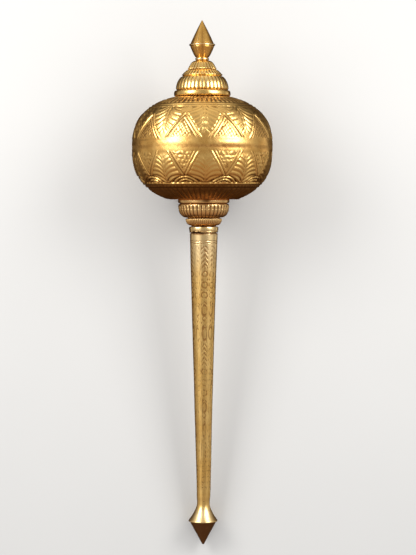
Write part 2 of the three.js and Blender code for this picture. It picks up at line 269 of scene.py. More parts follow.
def globe_relief(P, S, R, A0):
    even = P
    A = arc_of(S) + 0.38 * fine(P, S, 71, 8, 26, 14)
    P = P + 0.38 * fine(P, S, 72, 8, 26, 14) / np.maximum(R, 30)
    step = 2 * math.pi / REPEATS
    u = (P - TRI_AT + step / 2) % step - step / 2            # from the middle of a triangle
    g = (P - TRI_AT) % step - step / 2                       # from the middle of a gap
    x, gx = u * R, g * R
    which = np.round((P - TRI_AT - u) / step).astype(int)
    gap = np.floor((P - TRI_AT) / step).astype(int)
    h = np.zeros(S.shape)
    # each figure was cut by hand: a little higher or lower, and a little to one side
    shift = np.sin(which * 2.4 + 1.0) * 0.8
    sway = np.sin(gap * 3.1 + 0.4) * 0.7

    def triangle(a_apex, a_base, half_deg):
        t = (A - a_apex) / (a_base - a_apex)
        w = half_deg * D2R * t
        slope = half_deg * D2R * R / abs(a_base - a_apex)
        return (w - np.abs(u)) * R / np.sqrt(1 + slope ** 2), t

    fx = x + 0.6 * fine(P, S, 78, 30, 70, 18)
    fA = A + 0.6 * fine(P, S, 79, 30, 70, 18)

    # upper field
    aa, ab, abord = arc_of(UP_APEX) + shift, arc_of(UP_BASE), arc_of(UP_BORDER)
    d, t = triangle(aa, ab, 14.6)
    below = A - abord
    up_zone = (A > abord) & (A < ab + 2.0)
    end = smooth(ab + 1.6, ab - 2.5, A)
    lines = np.maximum(1.05 * ridge(d + 0.1, 1.8), 0.5 * ridge(d - 3.9, 1.2) * smooth(0.14, 0.2, t)) * end * (A > aa - 2.4)
    trench = (0.65 * ridge(d + 2.3, 1.0) + 0.6 * ridge(d - 2.1, 0.9) + 0.35 * ridge(d - 5.7, 0.7)) * end * (A > aa - 2)
    # rice-grain diaper inside
    pa = (fA - ab) / 5.1 + fx / 5.8
    pb = (fA - ab) / 7.8 - fx / 4.1
    fa, fb = (pa + 0.5) % 1 - 0.5, (pb + 0.5) % 1 - 0.5
    grain = np.sqrt(np.clip(1 - (fa / 0.38) ** 2, 0, 1)) * np.sqrt(np.clip(1 - (fb / 0.38) ** 2, 0, 1))
    diaper = 1.05 * grain - 0.5
    faded = smooth(0.95, 0.75, np.abs(even))
    fill = np.where(d > 6.2, diaper, 0) * end * lerp(1.0, smooth(ab + 1.0, ab - 8.0, A), faded)
    # painted shade in the hollows between the rice grains of the upper fill
    dark = np.where((d > 6.2) & up_zone, 0.16 * smooth(0.5, 0.1, grain), 0) * end
    leaves = palm(below - 1.0, gx + sway, d, 7.4, 15.0, 9.0, 42.0, 0.35) * smooth(0.4, 2.0, below) * smooth(ab + 1.0, ab - 8.0, A)
    up = np.where(d > 0, fill, leaves)
    up = np.where(d > -2.2, np.maximum(np.where(d > 0, fill, 0), lines) - trench, up)
    over = (A < aa + 0.5) & (np.abs(x) < 7)
    up = np.where(over & (below > 1.5), 0.7 * wave((A - aa + np.abs(x) * 0.7) / 3.8) - 0.2, up)
    h = np.where(up_zone, up, h)

    # lower field
    aa, ab, abord = arc_of(LOW_APEX) - shift * 0.6, arc_of(LOW_BASE), arc_of(LOW_BORDER)
    d, t = triangle(aa, ab, 13.0)
    above = abord - A
    low_zone = (A > ab - 2.0) & (A < abord)
    end = smooth(ab - 1.4, ab + 2.2, A)
    double = np.where((which % 2 == 0) == (u < 0), 0.9, 0.35)
    lines = np.maximum(1.1 * ridge(d + 0.1, 1.75), double * ridge(d - 3.9, 1.25) * smooth(0.16, 0.22, t)) * end * (A < aa + 1.5)
    trench = (0.65 * ridge(d + 2.3, 1.0) + 0.6 * ridge(d - 2.0, 0.9) + 0.4 * ridge(d - 5.6, 0.7)) * end * (A < aa + 1.5)
    # small leaves inside, turned this way and that
    cell = 6.2
    row = np.floor((fA - ab) / 5.4)
    cx = ((fx / cell + np.where(row % 2 == 0, 0.0, 0.5) + 0.5) % 1 - 0.5) * cell
    cy = (fA - ab) - (row + 0.5) * 5.4
    turn = np.sin(row * 2.1 + which * 1.7 + np.floor(fx / cell + np.where(row % 2 == 0, 0.0, 0.5) + 0.5) * 2.9) * 1.2
    lx = cx * np.cos(turn) + cy * np.sin(turn)
    ly = -cx * np.sin(turn) + cy * np.cos(turn)
    leafy = 1.0 * np.sqrt(np.clip(1 - (lx / 1.9) ** 2 - (ly / 3.7) ** 2, 0, 1)) - 0.35 * ridge(lx, 0.55) - 0.3 - 0.12 * fine(P, S, 84, 30, 80, 18)
    fill = np.where(d > 5.4, leafy, 0) * end
    # painted shade in the hollows between the small leaves of the lower fill
    dark = dark + np.where((d > 5.4) & low_zone, 0.12 * smooth(-0.1, -0.4, leafy), 0) * end
    leaves = palm(above + 1.0, gx + sway, d, 6.3, 12.0, 6.4, 42.0, 0.0, 0.95, 0.28) * smooth(0.3, 1.6, above) * smooth(ab - 0.5, ab + 7.0, A)
    leaves *= (0.88 + 0.55 * smooth(22, 5, above)) * (0.8 + 0.28 * np.sin(gap * 2.2 + 0.9))
    low = np.where(d > 0, fill, leaves)
    low = np.where(d > -2.2, np.maximum(np.where(d > 0, fill, 0), lines) - trench, low)
    # nested arches on the border, under each apex
    rho = np.sqrt((x / 1.42) ** 2 + (above + 0.3) ** 2)
    f = ((rho - 2.3) / 4.1 + 0.5) % 1 - 0.5
    arch = 1.25 * np.sqrt(np.clip(1 - (f / 0.37) ** 2, 0, 1)) - 1.5 * ridge(np.abs(f) - 0.5, 0.4)
    arch = arch - 0.8 * ridge(x + 0.4 * np.sin(above), 1.0)
    arch *= 0.85 + 0.3 * np.sin(3 * even + which)
    low = np.where((rho < 12.9) & (above > 0), arch, low)
    low = low - 0.8 * ridge(rho - 13.3, 1.0) * (above > 0)
    h = np.where(low_zone, low * lerp(0.78, 0.98, smooth(14, 5, above)), h)

    # borders: two cords above, one cord and a row of beads below
    for at, high, half in ((UP_BORDER, 0.95, 1.25), (UP_BORDER - 2.9, 0.8, 1.05), (LOW_BORDER, 1.15, 1.5)):
        h = np.where(np.abs(S - at) < half, high * ridge(S - at, half), h)
    h = h - 0.5 * ridge(S - (UP_BORDER - 1.5), 0.5) - 0.4 * ridge(S - (UP_BORDER + 1.6), 0.6) - 0.45 * ridge(S - (UP_BORDER - 4.2), 0.6)
    h = h - 0.6 * ridge(S - (LOW_BORDER - 1.9), 0.55) - 0.45 * ridge(S - (LOW_BORDER + 1.8), 0.6)
    at = LOW_BORDER + 3.4
    h = np.where(np.abs(S - at) < 1.6, 0.85 * ridge(S - at, 1.6) * np.abs(np.cos(40 * P)) ** 0.8, h)

    # shoulder: two rows of petals under the cap; underside: gadroons that run to the collar
    top = S < UP_BORDER - 4.0
    lobe = np.abs(np.cos(30 * P)) ** 0.7
    z = smooth(34.5, 36.0, R) * smooth(48.6, 47.6, R + 2.2 * (1 - lobe)) * top
    h = h + z * (1.3 * lobe - 0.65)
    # painted shade in the gaps between the petals of the first row
    gaps = z * smooth(0.5, 0.15, np.abs(np.cos(30 * P)))
    h = h - 0.8 * ridge(R - 49.0, 1.0) * top
    lobe = np.abs(np.cos(30 * P + math.pi / 2)) ** 0.7
    z = smooth(49.6, 50.8, R) * smooth(63.4, 61.9, R + 3.0 * (1 - lobe)) * top
    # painted shade in the gaps between the petals of the second row
    gaps = gaps + z * smooth(0.5, 0.15, np.abs(np.sin(30 * P)))
    h = h + z * (1.3 * lobe - 0.65)
    lobe = np.abs(np.cos(30 * P)) ** 0.7
    z = smooth(222.6, 224.4, S)
    h = h + z * (1.35 * lobe - 0.6)
    h = h - 0.5 * ridge(S - 222.3, 0.9)

    # seam of the two halves: the upper one ends in a soft step
    seam = -0.36 * smooth(164.4, 168.0, S) * smooth(174.5, 169.0, S) * np.clip(0.75 + 0.5 * waver(even, S * 0, 15), 0.3, 1)
    seam = seam * (0.8 + 0.7 * smooth(0.7, 0.2, np.abs(even - 0.12)))
    # the lower half starts with a slight lean inwards
    inward = -0.72 * smooth(169.0, 179.0, S) * smooth(216, 181, S) * (0.85 + 0.35 * np.sin(even + 0.2))
    soft = np.clip(0.9 + 0.25 * waver(P + 1.1, S, 5, 1.6) + 0.12 * fine(even, S, 73, 6, 20, 12), 0.45, 1.15)
    carved = h * soft
    scribed = 0.25 * ridge(S - 160.2, 0.9) * np.clip(0.6 + waver(P, S, 17), 0, 1)
    total = carved + seam + inward - scribed + 0.2 * waver(P, S, 3) + 0.035 * fine(P, S, 8)
    worn = np.clip(0.55 + 0.5 * waver(P + 0.4, S, 11, 0.8), 0, 1)
    # colour depth: the carving and the scribed line, plus painted shade on the seam's band, between the petals and in
    # the fills
    shade = carved + 0.4 * seam - scribed - 0.6 * gaps - dark
    # painted shade on the shoulder, darkest just under the cap's ring
    shade = np.where(top, np.minimum(shade, lerp(0.31, -0.07, smooth(UP_BORDER - 4.5, UP_BORDER - 6.5, S))), shade)
    # painted shade over the underside below the lower border, a little lighter again towards the collar
    shade = np.minimum(shade, lerp(0.31, -0.15, smooth(LOW_BORDER + 0.9, LOW_BORDER + 2.4, S)) + 0.09 * smooth(224, 233, S))
    return total, shade, worn


# ------------------------------------------------------------------ the other pieces
def finial_rows():
    rim = [(16.3, 31.2), (16.9, 31.5), (17.2, 32.2), (17.25, 32.8), (16.9, 33.6), (16.1, 33.95)]
    pts = curve(lambda t: (0.95 * math.sin(t * math.pi / 2), 0.9 - 0.9 * math.cos(t * math.pi / 2)), 4)
    pts += curve(lambda t: (lerp(1.1, 15.4, t) + 0.35 * math.sin(math.pi * t), lerp(1.3, 30.6, t)), 30)[0:]
    pts += [(15.6, 30.95)] + rim
    pts += [(15.9, 34.4)]
    knots_s, knots_r = [34.8, 38, 41.1, 44, 46.4, 47.8, 48.8, 49.6], [15.9, 14.6, 13.15, 11.8, 10.6, 9.7, 8.8, 8.0]
    pts += curve(lambda t: (float(np.interp(lerp(34.8, 49.6, t), knots_s, knots_r)), lerp(34.8, 49.6, t)), 22)
    pts += [(7.9, 49.9)]
    pts += curve(lambda t: (8.2 + 1.0 * math.sin(math.pi * t) ** 0.4, lerp(50.0, 52.7, t)), 9)
    pts += [(7.8, 52.8), (0, 52.8)]
    return pts


def finial_relief(P, S, R, A):
    h = 0.06 * waver(P, S, 21) + 0.01 * fine(P, S, 22, 6, 30)
    h = h * smooth(0, 6, S)
    lines = -0.3 * ridge(S - 30.8, 0.35) - 0.3 * ridge(S - 34.3, 0.4)
    streaks = fine(P, S * 0.3, 24, 5, 26, 16) * smooth(2, 14, S)
    bright = ridge(S - 32.5, 2.2) + 1.0 * (S > 49.6)
    # painted reflection: seven darker bands round the cones, and colour streaks stronger than the relief's; painted
    # shade on the lower cone just above the neck
    reflection_bands = -0.1 * np.cos(7 * P) * smooth(4, 12, S) * smooth(49, 46, S)
    return h + lines + 0.035 * streaks, np.minimum(lines + 0.13 * streaks - 0.02, 0.08) + reflection_bands + 0.4 * bright - 0.1 * smooth(44.5, 48.0, S) * (S < 49.8), np.clip(0.65 + 0.4 * waver(P, S, 23), 0, 1)


LOBES = 34


def cap_rows():
    pts = [(0, 53.1), (8.6, 53.1)]
    pts += curve(lambda t: (lerp(8.9, 12.0, t), lerp(53.3, 54.2, t)), 3)
    pts += curve(lambda t: (lerp(12.2, 19.0, t ** 0.75), lerp(54.4, 64.6, t)), 22)
    pts += [(18.6, 65.0), (18.4, 65.3), (19.0, 65.5)]
    pts += curve(lambda t: (lerp(19.5, 25.9, t ** 0.82), lerp(65.7, 71.3, t)), 14)
    pts += curve(lambda t: (25.9 + 1.0 * math.sin(math.pi * t), lerp(71.4, 73.3, t)), 7)
    pts += [(25.6, 73.6), (25.3, 74.0), (25.9, 74.3)]
    pts += curve(lambda t: (lerp(26.3, 34.8, math.sin(t * math.pi / 2) ** 0.68), lerp(74.5, 91.6, t ** 1.1)), 36)
    pts += [(34.0, 92.2), (33.8, 92.7), (34.8, 93.1)]
    pts += curve(lambda t: (lerp(34.9, 35.6, t) + 2.4 * math.sin(math.pi * t) ** 0.5, lerp(93.3, 100.4, 0.5 - 0.5 * math.cos(math.pi * t))), 20)
    pts += [(35.0, 100.7), (30.0, 100.7), (0, 100.7)]
    return pts


def cap_relief(P, S, R, A):
    h = np.zeros(S.shape)
    relief_scale = 0.5 + 0.5 * smooth(0.12, 0.6, np.abs(P - 0.04))      # the two small tiers are carved shallower in front, and their painted gap shade is lighter there
    # first tier: leaves with a midrib, whose tips overhang the second
    k = 24
    lobe = np.abs(np.cos(k * P / 2)) ** 0.75
    side = ((P * k / (2 * math.pi)) + 0.5) % 1 - 0.5
    tip = 65.2 - 1.9 * (1 - np.clip(1.15 - np.abs(side) * 2.3, 0, 1))
    z = smooth(54.6, 57.0, S)
    h += z * (1.1 * lobe - 0.8) * relief_scale * smooth(0.5, -0.5, S - tip)
    h -= z * 0.75 * smooth(-0.3, 0.6, S - tip) * smooth(66.0, 65.4, S)
    # second tier: short reeds over a rolled edge
    lobe = np.abs(np.cos(17 * P)) ** 0.75
    z = smooth(65.8, 66.6, S) * smooth(71.6, 70.8, S)
    h += z * (1.05 * lobe - 0.8) * relief_scale
    h += 0.3 * smooth(71.4, 72.2, S) * smooth(73.8, 73.2, S) * lobe
    # skirt: gadroons, deep between, rounded at the foot
    z = smooth(74.2, 75.2, S) * smooth(92.2, 91.4, S)
    lobe = np.abs(np.cos(LOBES * P / 2)) ** 0.6
    deep = 0.52 + 0.16 * smooth(75, 84, S)
    foot = 91.4 - 1.4 * (1 - lobe)
    h += z * (deep * (lobe - 1) + 0.35) - z * 0.9 * smooth(-0.5, 0.5, S - foot)
    rough = 0.09 * waver(P, S, 31) + 0.015 * fine(P, S, 32, 10, 60)
    # painted shade: dark lines under each tier's edge and over the ring, a dark band where the first tier meets the
    # finial, and dark gaps between leaves, reeds and gadroons
    painted_shade = -0.9 * (0.7 * ridge(S - 65.3, 0.6) + ridge(S - 74.0, 0.6) + 1.4 * ridge(S - 92.5, 1.0))
    painted_shade = painted_shade - 0.75 * smooth(56.5, 54.8, S) - 0.65 * smooth(0.5, 0.15, np.abs(np.cos(12 * P))) * smooth(54.6, 57.0, S) * smooth(65.2, 64.6, S) * 0.8 * relief_scale
    painted_shade = painted_shade - 0.6 * smooth(0.5, 0.15, np.abs(np.cos(17 * P))) * smooth(65.6, 66.4, S) * smooth(71.8, 71.0, S) * relief_scale
    painted_shade = painted_shade - 0.7 * smooth(0.45, 0.12, np.abs(np.cos(LOBES * P / 2))) * smooth(74.6, 75.6, S) * smooth(92, 91, S)
    return h + rough, h + 0.45 + painted_shade, np.clip(0.75 + 0.35 * waver(P, S, 33), 0, 1)


FLUTES = 36


def collar_rows():
    pts = [(0, 237.0), (33.4, 237.0)]
    pts += curve(lambda t: (33.8 + 0.55 * math.sin(math.pi * (0.12 + 0.8 * t)), lerp(237.2, 242.0, t)), 10)
    pts += [(33.6, 242.3), (32.4, 242.6), (31.4, 242.9), (31.4, 243.4), (32.6, 243.8)]
    pts += curve(lambda t: (21.4 + 12.2 * (1 - (0.985 * math.sin(t * math.pi / 2)) ** 2.8) ** 0.455, lerp(244.1, 261.4, math.sin(t * math.pi / 2))), 40)
    pts += [(21.8, 261.7), (21.2, 262.2), (21.4, 262.8), (22.6, 263.0)]
    pts += curve(lambda t: (16.6 + 7.4 * math.sqrt(1 - (0.99 * math.sin(t * math.pi / 2)) ** 2.5), lerp(263.2, 272.1, math.sin(t * math.pi / 2))), 24)
    pts += [(16.8, 272.4), (16.5, 272.9), (16.5, 273.4), (0, 273.4)]
    return pts


def collar_relief(P, S, R, A):
    h = np.zeros(S.shape)
    # cup: narrow reeds with arched heads
    z = smooth(243.9, 244.5, S) * smooth(262.0, 261.0, S)
    lobe = np.abs(np.cos(FLUTES * P / 2)) ** 0.85
    gaps = smooth(0.66, 0.2, np.abs(np.cos(FLUTES * P / 2))) * smooth(244.2, 245.2, S) * smooth(261.6, 259, S)
    head = 245.4 + 1.8 * (1 - lobe)
    lower = smooth(249.0, 251.5, S)
    h += z * ((1.35 - 0.45 * lower) * (lobe - 1) + 0.3) * smooth(-0.4, 0.6, S - head)
    h -= z * 0.25 * ridge(S - 250.0, 0.9) * lobe
    # roll: fine reeds between two thin lines
    z = smooth(263.2, 263.9, S) * smooth(272.2, 271.0, S)
    h += z * 0.8 * (np.abs(np.cos(27 * P)) ** 0.8 - 0.75) * (0.8 + 0.3 * smooth(271, 266, S))
    gaps = gaps + z * 0.8 * smooth(0.6, 0.2, np.abs(np.cos(27 * P)))
    h -= z * 0.35 * ridge(S - 268.2, 0.6)
    rough = 0.07 * waver(P, S, 41) + 0.02 * fine(P, S, 42, 10, 60)
    # painted shade: dark lines at the joins of flat ring, cup and roll, dark gaps between the reeds, and a darker band
    # at the cup's foot
    painted_shade = -1.2 * (ridge(S - 243.1, 0.9) + ridge(S - 262.2, 1.1) + ridge(S - 272.9, 0.9))
    painted_shade = painted_shade - gaps * (0.9 - 0.35 * lower) - 0.5 * smooth(258, 261.5, S) * smooth(263, 262, S)
    painted_shade = painted_shade - 0.74 * (S < 243.0) * smooth(0.42, 0.04, np.abs(P - 0.1)) * (1 - 0.35 * smooth(240.4, 242.4, S))      # painted shade: a darker patch on the front of the flat ring, between its two highlights
    return h + rough, h + 0.42 + painted_shade, np.clip(0.7 + 0.35 * waver(P, S, 43), 0, 1)


TEAR_FROM, TEAR_TO, TEAR_DEPTH = -68.0, -4.0, 2.3


def tear(P):
    deg = P / D2R
    t = np.clip((deg - TEAR_FROM) / (TEAR_TO - TEAR_FROM), 0, 1)
    base = np.sin(math.pi * t) ** 0.6 * (0.78 + 0.22 * np.cos(5 * math.pi * t))
    rag = 0.16 * np.sin(t * 47) + 0.12 * np.sin(t * 83 + 1.2) + 0.08 * np.sin(t * 131)
    return TEAR_DEPTH * np.clip(base + rag * smooth(0, 0.12, t) * smooth(1, 0.88, t), 0, 1.05)


def ferrule():
    """Sleeve over the top of the shaft: its outer face, torn lower edge and bore as one closed band."""
    columns = 512
    phi = (np.arange(columns) / columns - 0.5) * 2 * math.pi
    climb = tear(phi)
    outer = [(17.3, 273.8), (18.3, 273.9)]
    outer += curve(lambda t: (18.7 + 0.85 * math.sin(math.pi * t) ** 0.45, lerp(274.1, 279.4, 0.5 - 0.5 * math.cos(math.pi * t))), 20)
    outer += [(18.6, 279.6), (18.75, 279.8)]
    outer += curve(lambda t: (18.8 + 0.45 * math.sin(math.pi * t), lerp(279.9, 281.5, t)), 7)
    outer += [(18.3, 281.7), (17.3, 281.7)]
    inner = [(17.25, 280.5), (17.25, 277.0), (17.25, 274.6)]
    rows = outer + inner
    co = []
    for r, s in rows:
        edge = 281.7 - climb
        bent = 0.55 * smooth(0.2, 2.0, climb) * smooth(278.5, 281, s)
        st = np.minimum(s, edge + (s - 281.7) * 0.12)
        rr = r + np.where(r > 17.6, bent * np.sin(phi * 23) * 0.8, 0)
        co.append(np.stack([rr * np.sin(phi), LENGTH / 2 - st, rr * np.cos(phi)], -1))
    co = np.array(co)
    n = len(rows)
    c, t = math.cos(TILT), math.sin(TILT)
    co = co.reshape(-1, 3)
    co[:, 0] += lean(LENGTH / 2 - co[:, 1])
    world = np.stack([co[:, 0], co[:, 1] * c - co[:, 2] * t, co[:, 1] * t + co[:, 2] * c + MID_Z], -1) / 1000
    i = np.arange(n)[:, None]
    i2 = (i + 1) % n
    j = np.arange(columns)[None, :]
    k = (j + 1) % columns
    quads = np.stack([i * columns + j, i2 * columns + j, i2 * columns + k, i * columns + k], -1).reshape(-1, 4)
    me = bpy.data.meshes.new("ferrule")
    me.from_pydata(world.tolist(), [], quads.tolist())
    lens = np.hypot(*np.diff(np.array(rows + rows[:1]), axis=0).T)
    v = np.concatenate([[0], np.cumsum(lens)]) / lens.sum()
    u0 = np.arange(columns) / columns
    lo, hi = np.repeat(v[:-1], columns), np.repeat(v[1:], columns)
    uq = np.stack([np.tile(u0, n), np.tile(u0, n), np.tile(u0 + 1 / columns, n), np.tile(u0 + 1 / columns, n)], -1).ravel()
    uv = np.stack([uq * 0.996 + 0.002, 0.998 - 0.996 * np.stack([lo, hi, hi, lo], -1).ravel()], -1)
    me.uv_layers.new(name="OFBake").data.foreach_set("uv", uv.astype(np.float32).ravel())
    # Relief values: 0.75 on the sleeve's band, 0.6 on the rest of its face, 0.85 along the torn edge, and 0.1 in the
    # bore, which is painted shade inside the sleeve
    rough = np.array([[0.75 if r > 17.6 and 274.3 < s < 279.0 else 0.6 if r > 17.6 else 0.1] for r, s in rows]) * np.ones((1, columns))
    rough = np.where((np.array([s for _, s in rows])[:, None] > 279.2) & (np.abs(np.array([s for _, s in rows])[:, None] - (281.7 - climb)) < 0.8), 0.85, rough)
    for key, value in (("Relief", rough), ("Wear", np.full((n, columns), 0.8))):
        a = me.attributes.new(key, "FLOAT", "POINT")
        a.data.foreach_set("value", value.astype(np.float32).ravel())
    me.polygons.foreach_set("use_smooth", np.ones(len(me.polygons), bool))
    ob = bpy.data.objects.new("ferrule_sleeve", me)
    bpy.context.scene.collection.objects.link(ob)
    return ob


def shaft_r(s):
    t = (s - 282.6) / (633.6 - 282.6)
    return lerp(18.55, 9.05, t) - 0.35 * math.sin(math.pi * t)


def shaft_rows():
    pts = [(0, 273.7), (16.7, 273.7), (16.9, 274.0), (16.9, 278.0), (16.9, 282.2)]
    pts += [(17.5, 282.4), (18.1, 282.8), (18.4, 283.2), (shaft_r(283.7), 283.7)]
    n = 470
    pts += [(shaft_r(lerp(284.2, 632.8, i / n)), lerp(284.2, 632.8, i / n)) for i in range(n + 1)]
    pts += [(shaft_r(633.3), 633.3), (shaft_r(633.52), 633.52), (shaft_r(633.6) - 0.05, 633.6), (0, 633.6)]
    return pts


COLUMN_AT = 5.0 * D2R


def shaft_relief(P, S, R, A):
    step = 2 * math.pi / REPEATS
    u = (P - COLUMN_AT + step / 2) % step - step / 2
    which = np.round((P - COLUMN_AT - u) / step).astype(int)
    k = R / 18.3                                     # the columns narrow with the shaft
    x = u * 18.3                                     # -5.75 to 5.75 across a column
    ax = np.abs(x)
    h = np.zeros(S.shape)
    even = S
    S = S + 0.5 * np.sin(which * 2.3) + 0.4 * fine(P, S, 74, 3, 12, 12) + 0.22 * fine(P, S, 86, 14, 36, 14)      # cut by hand: the columns are not quite level
    x = x + 0.35 * fine(P, even, 75, 3, 12, 12) + 0.2 * fine(P, even, 87, 14, 36, 14)
    ax = np.abs(x)

    def cut(d, half):
        return ridge(d, half)

    def sprig(s0, s1, deep):
        """Leaves that droop from a rib."""
        z = smooth(s0, s0 + 1.5, S) * smooth(s1, s1 - 2.5, S)
        q = (S - s0 - ax * 1.35) / 6.2
        f = ((q + 0.5) % 1 - 0.5) * 6.2 * 0.6
        leaf = cut(f, 0.95) * smooth(4.9, 3.6, ax) * smooth(0.2, 0.9, ax)
        return -deep * z * (0.25 * leaf + 0.13 * cut(x, 0.5)) + deep * z * 0.05 * cut(np.abs(f) - 1.8, 1.0) * smooth(4.6, 3.6, ax)

    def ring(sc, radius, deep):
        rho = np.hypot(x * k, S - sc)
        return -deep * (0.27 * cut(rho - radius, 1.1)) + deep * 0.07 * cut(rho, radius - 0.9)

    def chevron(sc, deep):
        return -deep * 0.27 * cut(((S - sc) - ax * 0.95) * 0.72, 1.0) * smooth(4.6, 4.0, ax)

    def arch(s0, s1, deep):
        mid, half = (s0 + s1) / 2, (s1 - s0) / 2
        rho = ((ax / 3.5) ** 2.4 + (np.abs(S - mid) / half) ** 2.4) ** (1 / 2.4)
        return -deep * 0.27 * cut((rho - 1) * 3.6, 1.1) + deep * 0.05 * smooth(0.72, 0.4, rho) - deep * 0.1 * cut((rho - 0.45) * 3.6, 0.6)

    def lozenge(sc, size, deep):
        rho = ax / 3.2 + np.abs(S - sc) / size
        return -deep * (0.25 * cut((rho - 1) * 2.4, 0.9)) + deep * 0.05 * smooth(0.7, 0.3, rho)

    def corners(sc, deep):
        return -deep * 0.22 * smooth(1.5, 0.4, np.abs(ax - 4.3) + np.abs(S - sc) * 0.6)

    # each column's ornament is cut to its own depth, deepest on the front column and shallowest on the one to its left,
    # whose lighter browning is a painted highlight
    relief_scale = np.where(which == 0, 1.25, np.where(which == -1, 0.3, np.where(which == 1, 0.55, 0.8 + 0.3 * np.sin(which * 1.9))))
    relief_scale = relief_scale * np.clip(0.85 + 0.4 * fine(P, even, 81, 10, 40, 20), 0.2, 1.3)
    worn = np.clip(0.88 - 0.52 * smooth(395, 500, S) - 0.12 * smooth(575, 620, S) + 0.3 * waver(P, S, 51, 0.9) + 0.25 * fine(P, S, 76, 3, 12, 12), 0.15, 1.2) * relief_scale
    s0 = 298.5
    while s0 < 600:
        h += sprig(s0, s0 + 33, worn) + ring(s0 + 38.5, 3.5, worn) + corners(s0 + 46, worn)
        h += ring(s0 + 53.2, 3.9, worn) + corners(s0 + 60, worn) + ring(s0 + 66.7, 3.9, worn)
        h += chevron(s0 + 75.0, worn)
        h += arch(s0 + 80.0, s0 + 93.0, worn)
        h += lozenge(s0 + 97.5, 3.6, worn) + corners(s0 + 103, worn * 0.7)
        h += chevron(s0 + 105.5, worn * 0.8)
        h += arch(s0 + 109.5, s0 + 126.0, worn)
        s0 += 130.0
    z = smooth(296.5, 297.5, S) * smooth(626.5, 625.0, S)
    h = h * z - (0.11 + 0.06 * smooth(420, 500, even)) * np.clip(fine(P, even, 82, 20, 64, 30) - 0.5, 0, 1.5) * smooth(5.0, 4.2, ax) * z * np.clip(relief_scale, 0, 1.3) * (1 - 0.5 * smooth(570, 620, S))
    # thin lines that part the columns, broken by wear
    h -= 0.12 * ridge((ax - 5.75) * k, 0.6) * z * np.clip(worn * 0.5 + 0.5 * waver(P, S, 57, 0.5), 0, 1)
    # plain bands: a double line at the head
    lines = -0.26 * ridge(S - 292.9, 0.6) - 0.26 * ridge(S - 295.5, 0.6) + 0.22 * ridge(S - 294.2, 0.7)
    under = smooth(-84, -68, P / D2R) * smooth(6, -6, P / D2R)      # painted shadow under the ferrule's lower edge, darkest under its torn part; where the shaft runs into the sleeve it is painted as a near-black gap
    carved = h + lines - 0.6 * smooth(284.4, 283.4, S) * lerp(0.3, 1.0, under) - 9.0 * (S < 282.9) * lerp(0.06, 1.0, under)
    pitted = 0.05 * fine(P, even, 52, 14, 60, 34) * z
    total = (h + lines + pitted + 0.1 * waver(P, S, 53, 1.2)) * smooth(283.2, 284.4, S)
    return total, carved + pitted * 0.9, np.clip(0.55 + 0.4 * waver(P, S, 54, 0.8), 0, 1)


def pommel_rows():
    pts = [(0, 633.7), (9.0, 633.7), (9.05, 633.78), (9.05, 633.95)]
    pts += curve(lambda t: (9.04 - 0.6 * smooth(0, 0.8, np.float64(t)), lerp(634.2, 645.0, t)), 14)
    pts = [(float(a), float(b)) for a, b in pts]
    pts += curve(lambda t: (lerp(8.44, 18.95, t ** 1.48), lerp(645.6, 666.8, t)), 36)
    pts += [(19.15, 667.2), (19.3, 667.6), (19.35, 667.95), (19.25, 668.35), (18.9, 668.7), (18.2, 668.95)]
    pts += [(17.4, 669.2), (17.2, 669.7)]
    cone_s, cone_r = [670.0, 671.9, 675.2, 679.2, 685.9, 692.6, 697.6, 698.8], [17.0, 16.1, 14.3, 12.2, 8.4, 4.9, 2.3, 1.6]
    pts += curve(lambda t: (float(np.interp(lerp(670.0, 698.8, t), cone_s, cone_r)), lerp(670.0, 698.8, t)), 32)
    pts += [(1.1, 699.5), (0.5, 699.9), (0, 700.0)]
    return pts


def pommel_relief(P, S, R, A):
    h = 0.08 * waver(P, S, 61) * smooth(634, 640, S) * smooth(699, 690, S) + 0.012 * fine(P, S, 62, 6, 40)
    lines = -0.06 * ridge(S - 652.5, 0.7)
    # two small rivets in line with a column
    x = (P - COLUMN_AT) * R
    for sc in (641.2, 648.2):
        lines = lines - 0.35 * ridge(np.hypot(x, S - sc), 0.9)
    # painted shade: the cone under the rim, which faces the floor, is darkened and gets no wear brightening
    painted_cone_shade = -0.22 * smooth(668.8, 669.6, S)
    return h + lines, lines + painted_cone_shade, np.clip(0.7 + 0.35 * waver(P, S, 63), 0, 1) * smooth(670, 668, S)


# ------------------------------------------------------------------ materials
class Nodes:
    def __init__(self, tree):
        self.tree = tree
        self.tree.nodes.clear()

    def add(self, kind, inputs=None, **settings):
        n = self.tree.nodes.new(kind)
        for k, v in settings.items():
            setattr(n, k, v)
        for k, v in (inputs or {}).items():
            if isinstance(v, bpy.types.NodeSocket):
                self.tree.links.new(v, n.inputs[k])
            else:
                n.inputs[k].default_value = v
        return n

    def math(self, op, a, b=0.5, clamp=False):
        return self.add("ShaderNodeMath", {0: a, 1: b}, operation=op, use_clamp=clamp).outputs[0]

    def span(self, value, a, b, c=0.0, d=1.0, smoothly=True):
        n = self.add("ShaderNodeMapRange", {"Value": value, "From Min": a, "From Max": b, "To Min": c, "To Max": d})
        n.interpolation_type = "SMOOTHSTEP" if smoothly else "LINEAR"
        return n.outputs[0]

    def mix(self, factor, a, b, kind="MIX"):
        n = self.add("ShaderNodeMix", data_type="RGBA", blend_type=kind)
        for i, v in ((0, factor), (6, a), (7, b)):
            if isinstance(v, bpy.types.NodeSocket):
                self.tree.links.new(v, n.inputs[i])
            else:
                n.inputs[i].default_value = v
        return n.outputs[2]

    def noise(self, where, scale, detail=3.0, rough=0.55, distortion=0.0):
        return self.add("ShaderNodeTexNoise", {"Vector": where, "Scale": scale, "Detail": detail, "Roughness": rough, "Distortion": distortion}).outputs["Fac"]


